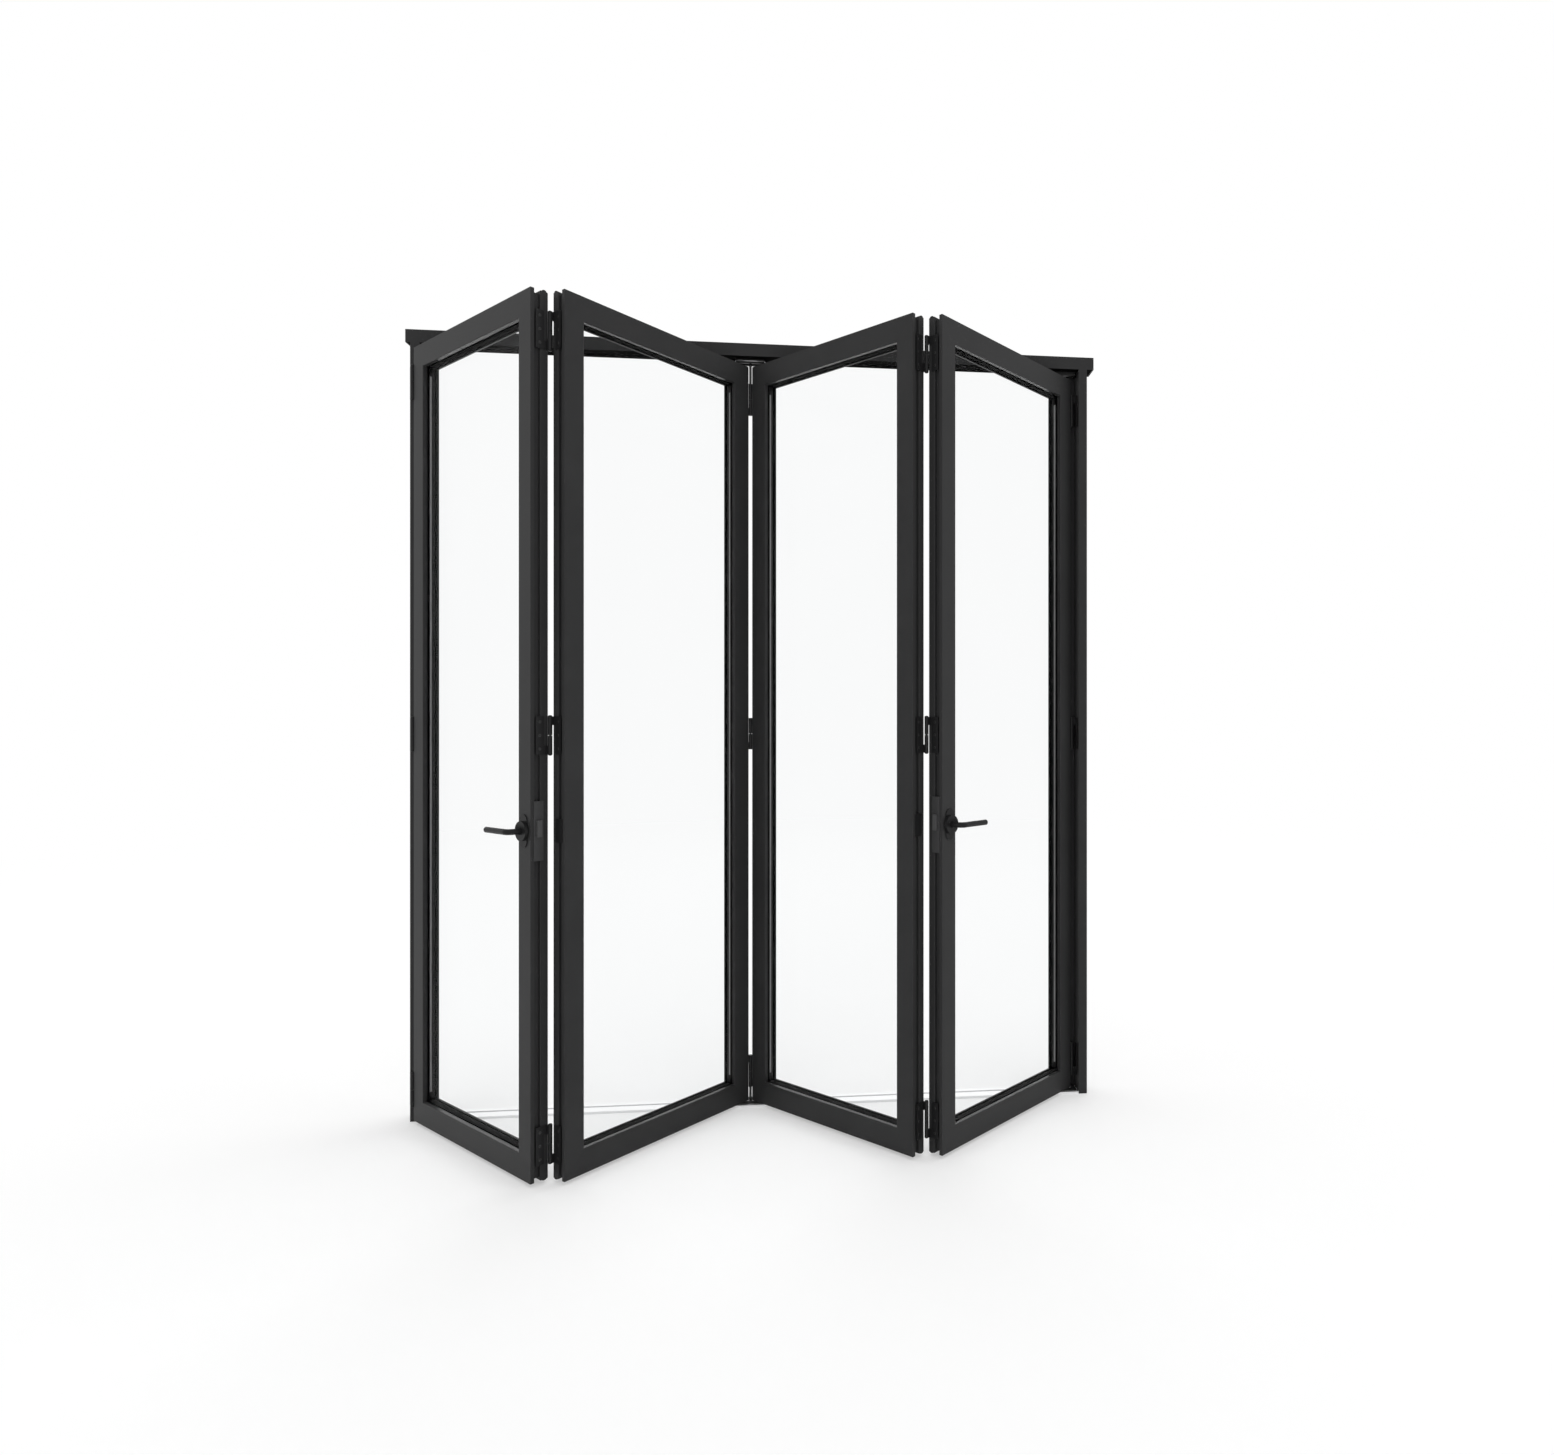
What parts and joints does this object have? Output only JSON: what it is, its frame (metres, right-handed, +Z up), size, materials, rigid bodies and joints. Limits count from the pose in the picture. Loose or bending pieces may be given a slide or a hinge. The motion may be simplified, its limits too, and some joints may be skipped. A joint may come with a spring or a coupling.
{
  "type": "folding door",
  "caption": "Folding glass door with black metal leaves hinged in a zigzag between its jambs, a head track with a roller carrier, a low floor track and lever handles.",
  "frame": {"origin": "on the floor track's underside, halfway along it, under the centre line of the rollers", "axes": "+X along the opening to the right as seen by the viewer, -Y towards the side the leaves fold out to and the levers are on, +Z up"},
  "size_m": [2.052, 0.5337, 2.31],
  "materials": {
    "black_profile": "satin",
    "clear_glass": "gloss",
    "black_spacer": "matte",
    "black_gasket": "matte",
    "black_plastic": "matte",
    "black_hinge": "satin",
    "black_handle": "satin",
    "aluminium": "satin",
    "steel": "satin"
  },
  "bodies": {
    "door": {"leaf_1_stiles": "black_profile", "leaf_1_rails": "black_profile", "leaf_1_glass": "clear_glass", "leaf_1_spacer": "black_spacer", "leaf_1_gaskets": "black_gasket", "leaf_2_stiles": "black_profile", "leaf_2_rails": "black_profile", "leaf_2_glass": "clear_glass", "leaf_2_spacer": "black_spacer", "leaf_2_gaskets": "black_gasket", "leaf_3_stiles": "black_profile", "leaf_3_rails": "black_profile", "leaf_3_glass": "clear_glass", "leaf_3_spacer": "black_spacer", "leaf_3_gaskets": "black_gasket", "leaf_4_stiles": "black_profile", "leaf_4_rails": "black_profile", "leaf_4_glass": "clear_glass", "leaf_4_spacer": "black_spacer", "leaf_4_gaskets": "black_gasket", "head_track": "black_profile", "head_end_caps": "black_plastic", "left_jamb": "black_profile", "right_jamb": "black_profile", "floor_track": "aluminium", "hinge_0_jamb_wings": "black_hinge", "hinge_0_leaf_wings": "black_hinge", "hinge_1_left_wings": "black_hinge", "hinge_1_right_wings": "black_hinge", "hinge_2_left_wings": "black_hinge", "hinge_2_right_wings": "black_hinge", "hinge_3_left_wings": "black_hinge", "hinge_3_right_wings": "black_hinge", "hinge_4_jamb_wings": "black_hinge", "hinge_4_leaf_wings": "black_hinge", "top_carrier": "steel", "carrier_wheels": "steel", "floor_guide": "steel", "lock_faceplates": "black_hinge", "latch_bolts": "steel", "strikes": "black_hinge", "left_handle_plate": "black_handle", "right_handle_plate": "black_handle"},
    "left_lever_body": {"left_lever": "black_handle"},
    "right_lever_body": {"right_lever": "black_handle"}
  },
  "joints": [
    {"name": "left_lever_turn", "type": "hinge", "parent": "door", "child": "left_lever_body", "pos_m": [-0.55428, -0.47431, 0.89], "axis": [-0.6922, -0.7217, 0], "range_deg": [0, 45], "stiffness_Nm_per_rad": 1.2, "springref_deg": -17.19},
    {"name": "right_lever_turn", "type": "hinge", "parent": "door", "child": "right_lever_body", "pos_m": [0.52858, -0.42596, 0.89], "axis": [-0.6949, 0.7191, 0], "range_deg": [0, 45], "stiffness_Nm_per_rad": 1.2, "springref_deg": -17.19}
  ]
}
